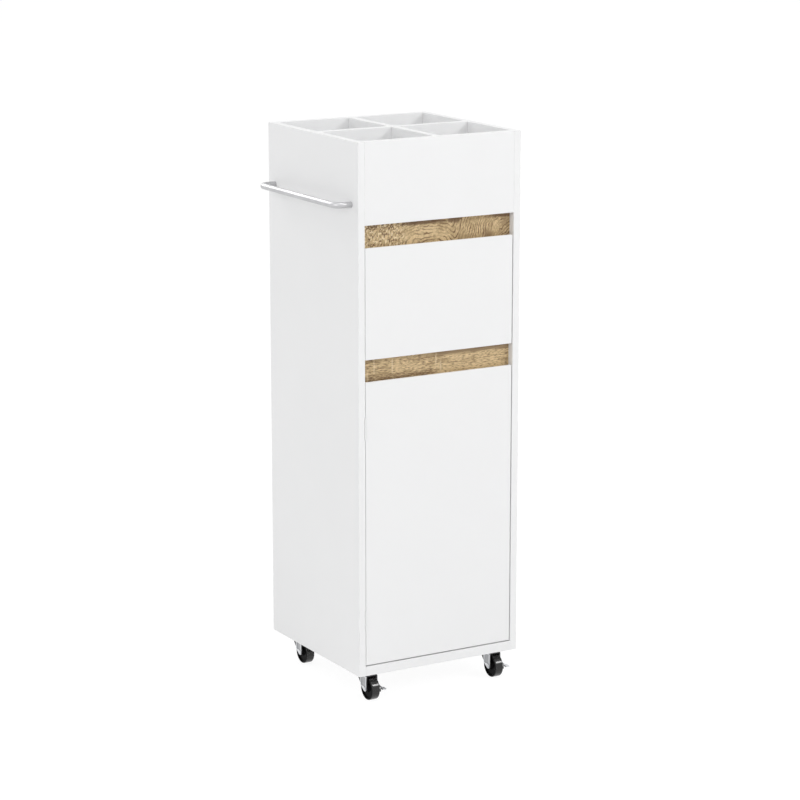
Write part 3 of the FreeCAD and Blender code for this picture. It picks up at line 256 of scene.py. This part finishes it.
def knotted_oak(node):
    """Grain that arches over a knot, meets a second run of rings in a dark wedge, and curls at the left,
    with painted shade along the top.
    """
    material, shader, place = start_finish(f"{node}_oak")
    x, up = along_strip(node, place)
    left = 1 - fade(x, -0.075, -0.045)
    right = fade(x, 0.02, 0.06)
    ripple = speckle(place, 140, 2) - 0.5
    lines = ring_lines(place, x, up, ripple * (0.0022 + left * 0.004 + right * 0.0045))
    top = dark_top(place, x, up + ripple * 0.008, left)
    curl = 1 - fade(abs(speckle(place, 165, 1, (1, 1, 0.8)) - 0.5), 0.01, 0.065)
    curls = left * curl * fade(speckle(place, 190, 1), 0.44, 0.56)
    wedge = 1 - fade(away_from(WEDGE, x, up, 0.5) + ripple * 0.006, 0.004, 0.009)
    stain = 1 - fade(away_from(STAIN, x + up * 0.8, up, 1.6) + ripple * 0.004, 0.001, 0.005)
    shade = fade(speckle(place, 34, 2, (1.4, 1, 0.4)), 0.45, 0.70) * right
    dark = strongest(lines, curls, top, wedge * 0.75, stain * 0.5, shade * 0.65)
    broad = speckle(place, 30, 3, (1, 1, 1.6))
    mottle = speckle(place, 330, 2)
    figure = fade(broad * 0.6 + mottle * 0.5 + lines * 0.25 + right * 0.04, 0.42, 0.74)
    pale = left * fade(speckle(place, 240, 2), 0.50, 0.62) * (1 - curls)
    return finish_oak(material, shader, place, figure, dark, pale)


def pale_fleck(x, up, middle, foot, top):
    """One upright fleck at its place along the strip, fading out at its foot and top."""
    across = 1 - fade(abs(x - middle), 0.0002, 0.0024)
    above_foot = fade(up, foot - FLECK_FADE, foot + FLECK_FADE)
    below_top = 1 - fade(up, top - FLECK_FADE, top + FLECK_FADE)
    return across * above_foot * below_top


def straight_oak(node):
    """Straight grain along the strip, with short brown dashes, a brown upper edge of painted shade under the
    board above, and pale flecks.
    """
    material, shader, place = start_finish(f"{node}_oak")
    x, up = along_strip(node, place)
    grain = speckle(place, 420, 4, (0.08, 1, 1))
    dashes = speckle(place, 560, 3, (0.26, 1, 1))
    cloud = speckle(place, 22, 2, (0.7, 1, 1.6))
    right = fade(x, 0.0, 0.06)
    foot = (1 - fade(up, 0.004, 0.014)) * (1 - fade(x, -0.03, 0.02))
    figure = fade(grain * 0.75 + cloud * 0.30 - right * 0.04, 0.46, 0.67)
    dark = fade(dashes + cloud * 0.15 + foot * 0.12 - right * 0.02, 0.48, 0.78) * 0.8
    # Painted shade: the brown band along the top edge stands for the shade under the board above, broken by
    # the grain
    brown = fade(up + grain * 0.006, STRIP_OPEN - 0.005, STRIP_OPEN) * fade(x, -0.04, 0.01) * 0.6
    flecks = strongest(*(pale_fleck(x + (grain - 0.5) * 0.003, up, *fleck) for fleck in FLECKS))
    pale = flecks * (0.2 + 0.6 * grain)
    return finish_oak(material, shader, place, figure, strongest(dark, brown), pale)


dress(knotted_oak("grip_rail_upper"), "grip_rail_upper")
dress(straight_oak("grip_rail_lower"), "grip_rail_lower")

# Tray dividers and shelf: white boards like the carcass
# The two dividers are halved over each other and stand in the tray; the shelf lies loose on its pins
for node in ("tray_divider_long", "tray_divider_cross", "shelf"):
    dress(white_board(node), node)

# Back sheet and drawer bottom: 3 mm fibreboard with a white face, slid into grooves
# The face is printed on the fibre, so it is duller than the boards and shows the fibre faintly
SHEET_WHITE = (0.84, 0.84, 0.83, 1)
SHEET_GREY = (0.74, 0.735, 0.72, 1)


def thin_sheet(name):
    """A dull white face with fine fibres."""
    material, shader, place = start_finish(name)
    fibres = speckle(place, 340, 4, (1, 1, 0.25))
    tone = blend_colour(fade(fibres, 0.45, 0.8) * 0.5, SHEET_WHITE, SHEET_GREY)
    wire(shader, Base_Color=tone, Roughness=0.55 + 0.2 * fibres, Normal=relief(fibres, 0.00006, 0.5))
    return material


dress(thin_sheet("white_fibreboard"), "back_sheet", "drawer_bottom")

# Dowels and drawer guides: turned beech pegs in the board joints, and planed beech strips
# Plain wood with its flecks along the grain; the pegs are glued, the strips are screwed to the side panels
BEECH_PALE = (0.74, 0.55, 0.35, 1)
BEECH_FLECK = (0.52, 0.35, 0.19, 1)


def beech(name, along):
    """Pale wood with short brown flecks along the grain."""
    material, shader, place = start_finish(name)
    flecks = speckle(place, 420, 3, along)
    tone = blend_colour(fade(flecks, 0.5, 0.72), BEECH_PALE, BEECH_FLECK)
    wire(shader, Base_Color=tone, Roughness=0.6 + 0.15 * flecks, Normal=relief(flecks, 0.0001, 0.5))
    return material


dress(beech("beech_pegs", (0.2, 1, 1)), "assembly_dowels", "drawer_dowels")
dress(beech("beech_strips", (1, 0.12, 1)), "drawer_guide_left", "drawer_guide_right")

# Cam fittings, screws, shelf and hinge pins and the catch's strike plate: small zinc plated steel parts
# Bolts and screws sit in the boards, and the cams turn in pockets under the level boards
ZINC_BRIGHT = (0.74, 0.75, 0.77, 1)
ZINC_DULL = (0.58, 0.59, 0.61, 1)


def zinc_tone(place, scale):
    """Bright plating with dull clouds, and the fine lines left by drawing the steel."""
    cloud = speckle(place, scale, 3)
    lines = speckle(place, 900, 2, (1, 1, 0.06))
    return blend_colour(fade(cloud, 0.35, 0.75), ZINC_BRIGHT, ZINC_DULL), cloud, lines


def zinc_plate(name, scale):
    """Zinc plated steel."""
    material, shader, place = start_finish(name)
    tone, cloud, lines = zinc_tone(place, scale)
    wire(shader, Base_Color=tone, Metallic=1.0, Roughness=0.24 + 0.16 * cloud + 0.06 * lines,
         Normal=relief(lines, 0.00003, 0.5))
    return material


dress(zinc_plate("zinc_small_parts", 300), "cam_bolts", "cam_locks", "panel_screws", "towel_rail_screws",
      "shelf_pins", "strike_plate", "hinge_panel_screws", "door_screws", "hinge_pins")

# Towel rail: one round steel bar bent to a U and screwed to the left side panel from inside
# Satin chrome, with the marks of polishing along the bar
CHROME_LIGHT = (0.60, 0.60, 0.61, 1)
CHROME_SHADE = (0.49, 0.49, 0.50, 1)


def satin_chrome():
    """Soft grey metal with fine lines along the bar and a few duller handling patches."""
    material, shader, place = start_finish("satin_chrome")
    lines = speckle(place, 1300, 2, (1, 0.03, 1))
    touch = speckle(place, 30, 2)
    tone = blend_colour(fade(lines * 0.5 + touch * 0.5, 0.35, 0.7), CHROME_LIGHT, CHROME_SHADE)
    wire(shader, Base_Color=tone, Metallic=1.0, Roughness=0.34 + 0.08 * touch + 0.06 * lines,
         Normal=relief(lines, 0.00002, 0.4))
    return material


dress(satin_chrome(), "towel_rail")

# Drawer: front, sides and back in the same white board
# The front is bevelled behind its top edge, and the bevel is lacquered white, so no core shows on it
for node in ("drawer_side_left", "drawer_side_right", "drawer_back"):
    dress(white_board(node), node)
dress(white_board("drawer_front", core=False), "drawer_front")

# Door: bevelled like the drawer front and hung on two slim butt hinges
# The hinge leaves are painted white to vanish in the gap
LEAF_WHITE = (0.85, 0.85, 0.85, 1)
LEAF_WORN = (0.60, 0.60, 0.61, 1)
dress(white_board("door", core=False), "door")


def leaf_paint():
    """White paint over steel, thin and rubbed in small patches."""
    material, shader, place = start_finish("white_paint")
    rub = fade(speckle(place, 700, 4), 0.60, 0.72)
    brush = speckle(place, 1800, 1)
    tone = blend_colour(rub * 0.5, LEAF_WHITE, LEAF_WORN)
    wire(shader, Base_Color=tone, Roughness=0.32 + 0.25 * rub, Normal=relief(brush, 0.00002, 0.5))
    return material


dress(leaf_paint(), "hinge_panel_leaves", "hinge_door_leaves")

# Magnet catch: a white moulded case screwed to the right side panel
# The moulding has a fine eroded texture and a slightly warmer white than the boards
CASE_WHITE = (0.83, 0.83, 0.81, 1)
CASE_SHADE = (0.76, 0.76, 0.74, 1)


def moulded_case():
    """Matt moulded plastic."""
    material, shader, place = start_finish("white_plastic")
    grain = speckle(place, 2600, 2)
    flow = speckle(place, 90, 2)
    tone = blend_colour(flow, CASE_WHITE, CASE_SHADE)
    wire(shader, Base_Color=tone, Roughness=0.42 + 0.12 * grain, Normal=relief(grain, 0.00004, 0.6))
    return material


dress(moulded_case(), "magnet_catch")

# Casters: plates, kingpins, pressed forks, axles and brake levers in zinc plated steel
# A fork's raised rims keep the bright zinc, its sunk panels are rougher and painted grey as painted shade,
# and its inside is painted near black as painted shade
# The faces of arm, panel and gusset are given by their distance from the middle of the wheel
CORNERS = ("front_left", "front_right", "rear_left", "rear_right")
BRAKED = CORNERS[:2]
# Painted shade colours: grey for the fork's sunk panels, near black for its inside
PAINTED_SHADE_GREY = (0.36, 0.365, 0.375, 1)
PAINTED_SHADE_BLACK = (0.022, 0.021, 0.02, 1)
ARM_FACE = 0.0109
PANEL_FLOOR = 0.0102
GUSSET_FACE = 0.0097
FACE_BLEND = 0.0001


def pressed_fork(corner):
    """Zinc plate by its depth in from the outside of the fork: bright rims, rougher panels in painted grey
    shade, and painted black shade inside.
    """
    material, shader, place = start_finish(f"fork_{corner}_zinc")
    low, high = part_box(f"wheel_{corner}")
    x, _, _ = axes_of(place)
    out = abs(x - (low.x + high.x) / 2)
    tone, cloud, lines = zinc_tone(place, 90)
    # Painted shade: the sunk panels are painted grey and the inside near black, where shade and dark
    # reflections fall between the arms and under the web
    sunk = 1 - fade(out, PANEL_FLOOR + FACE_BLEND, ARM_FACE - FACE_BLEND)
    inside = 1 - fade(out + cloud * 0.0002, GUSSET_FACE + FACE_BLEND, PANEL_FLOOR)
    tone = blend_colour(sunk * (0.75 + 0.25 * cloud), tone, PAINTED_SHADE_GREY)
    tone = blend_colour(inside * (0.85 + 0.15 * lines), tone, PAINTED_SHADE_BLACK)
    wire(shader, Base_Color=tone, Metallic=1 - inside, Roughness=0.24 + 0.14 * cloud + 0.1 * sunk,
         Normal=relief(lines, 0.00003, 0.5))
    return material


pressings = zinc_plate("zinc_pressings", 90)
dress(pressings, "caster_kingpins")
for corner in CORNERS:
    dress(pressings, f"caster_plate_{corner}", f"axle_{corner}")
    dress(pressed_fork(corner), f"fork_{corner}")
for corner in BRAKED:
    dress(pressings, f"brake_lever_{corner}")

# Friction discs: black moulded discs with a stop peg, between the brake levers and the forks
# Each lever clamps its disc against the arm, so the disc's face is scuffed in rings
# How close the rings lie is given in radians to a metre
DISC_BLACK = (0.014, 0.014, 0.015, 1)
DISC_SCUFF = (0.06, 0.06, 0.06, 1)
SCUFF_RINGS = 5200


def from_axle(node, place):
    """How far a place lies from the axle of a round piece, and how far the piece reaches."""
    low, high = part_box(node)
    _, y, z = axes_of(place)
    middle = ((low.y + high.y) / 2, (low.z + high.z) / 2)
    return away_from(middle, y, z), (high.z - low.z) / 2


def friction_disc(node):
    """Hard black plastic, scuffed round the axle."""
    material, shader, place = start_finish(f"{node}_black")
    out, _ = from_axle(node, place)
    scuff = fade((out * SCUFF_RINGS).math("SINE") * 0.4 + speckle(place, 500, 3), 0.55, 0.95)
    tone = blend_colour(scuff, DISC_BLACK, DISC_SCUFF)
    wire(shader, Base_Color=tone, Roughness=0.38 + 0.2 * scuff, Normal=relief(scuff, 0.00004, 0.5))
    return material


for corner in BRAKED:
    dress(friction_disc(f"brake_disc_{corner}"), f"brake_disc_{corner}")

# Wheels: black moulded plastic on the axles
# Rolling has polished the tread and left a little dust on it, and the recessed sides are matt
# Their turned lines are given in radians to a metre, as the scuffs of the discs are
WHEEL_BLACK = (0.005, 0.005, 0.0055, 1)
WHEEL_DUST = (0.020, 0.0195, 0.019, 1)
TURNED_RINGS = 9000


def black_wheel(node):
    """Black plastic with dust on its polished tread and turned lines on its sides."""
    material, shader, place = start_finish(f"{node}_black")
    out, radius = from_axle(node, place)
    tread = fade(out, radius * 0.93, radius * 0.985)
    dust = fade(speckle(place, 420, 4), 0.42, 0.75) * tread
    turned = (out * TURNED_RINGS).math("SINE")
    tone = blend_colour(dust, WHEEL_BLACK, WHEEL_DUST)
    grain = speckle(place, 2200, 2)
    wire(shader, Base_Color=tone, Roughness=0.30 + 0.12 * dust, Specular_IOR_Level=0.03,
         Coat_Weight=tread * (1 - 0.3 * dust), Coat_Roughness=0.14,
         Normal=relief(grain * 0.7 + turned * 0.1 * (1 - tread), 0.00004, 0.4))
    return material


for corner in CORNERS:
    dress(black_wheel(f"wheel_{corner}"), f"wheel_{corner}")

# Stage: a plain white floor and surround, with soft lamps in front, above, at the left and behind
# To the camera and in gloss both are white, and the floor keeps the cabinet's shadow:
# a share of it is lit like paper, and its glow makes up the rest to white
FLOOR_REACH = 30
FLOOR_PALE = (0.86, 0.86, 0.86, 1)
STAGE_WHITE = (1, 1, 1, 1)
SHADOW_SHARE = 0.15
SURROUND = 0.55
FLOOR_GLOW = (1 - SHADOW_SHARE * SURROUND) / (1 - SHADOW_SHARE)
BODY_MIDDLE = (0, 0, 0.45)
TRAY_MIDDLE = (0, 0, 0.9)


def seen_directly(tree):
    """One for what the camera sees, also in gloss and through glass, and nought for light on the object."""
    rays = tree.nodes.new("ShaderNodeLightPath").outputs
    kinds = ("Is Camera Ray", "Is Glossy Ray", "Is Transmission Ray")
    return strongest(*(Recipe(rays[kind]) for kind in kinds))


bpy.ops.mesh.primitive_plane_add(size=2 * FLOOR_REACH, location=(0, 0, 0))
floor = bpy.context.object
floor.name = "floor"
paper, shader, _ = start_finish("white_floor")
seen = seen_directly(paper.node_tree)
wire(shader, Base_Color=blend_colour(seen, FLOOR_PALE, STAGE_WHITE), Roughness=0.9)
glow = seen.node("ShaderNodeEmission", {}, {"Color": STAGE_WHITE, "Strength": FLOOR_GLOW})
lit = Recipe(shader.outputs["BSDF"])
mixed = seen.node("ShaderNodeMixShader", {}, {0: seen * (1 - SHADOW_SHARE), 1: lit, 2: glow})
paper.node_tree.links.new(mixed.socket, paper.node_tree.nodes["Material Output"].inputs["Surface"])
floor.data.materials.append(paper)

surround = bpy.data.worlds.new("white_surround")
surround.use_nodes = True
backdrop = next(n for n in surround.node_tree.nodes if n.type == "BACKGROUND")
wire(backdrop, Color=STAGE_WHITE, Strength=SURROUND + seen_directly(surround.node_tree) * (1 - SURROUND))
bpy.context.scene.world = surround


def soft_lamp(name, place, aim, size, watts):
    """A square lamp at a place, facing a point."""
    light = bpy.data.lights.new(name, "AREA")
    light.size = size
    light.energy = watts
    lamp = bpy.data.objects.new(name, light)
    lamp.location = place
    lamp.rotation_euler = (Vector(aim) - Vector(place)).to_track_quat("-Z", "Y").to_euler()
    bpy.context.scene.collection.objects.link(lamp)


soft_lamp("front_lamp", (2.8, -4.1, 3.1), BODY_MIDDLE, size=1.2, watts=76)
soft_lamp("tray_lamp", (0.2, -1.6, 4.3), TRAY_MIDDLE, size=2.4, watts=32)
soft_lamp("left_lamp", (-4.8, -2.3, 2.6), BODY_MIDDLE, size=2.4, watts=52)
soft_lamp("back_lamp", (-1.8, 4.6, 3.6), BODY_MIDDLE, size=2.4, watts=85)

# Camera: the photograph's viewing angle, worked out from the corners of the carcass
# The lens is given for a picture 36 mm wide
AZIMUTH = math.radians(30.168)
ELEVATION = math.radians(12.70)
DISTANCE = 4.459
AIM = Vector((-0.0612, -0.1276, 0.4942))
FOCAL_PIXELS = 2775
PICTURE_PIXELS = 800
PICTURE_WIDTH = 36
look = Vector((math.sin(AZIMUTH) * math.cos(ELEVATION), math.cos(AZIMUTH) * math.cos(ELEVATION),
               -math.sin(ELEVATION)))
lens = bpy.data.cameras.new("photo_camera")
lens.sensor_width = PICTURE_WIDTH
lens.lens = PICTURE_WIDTH * FOCAL_PIXELS / PICTURE_PIXELS
lens.clip_end = 200
camera = bpy.data.objects.new("photo_camera", lens)
camera.location = AIM - look * DISTANCE
camera.rotation_euler = look.to_track_quat("-Z", "Y").to_euler()
bpy.context.scene.collection.objects.link(camera)
bpy.context.scene.camera = camera
bpy.context.scene.view_settings.view_transform = "Standard"
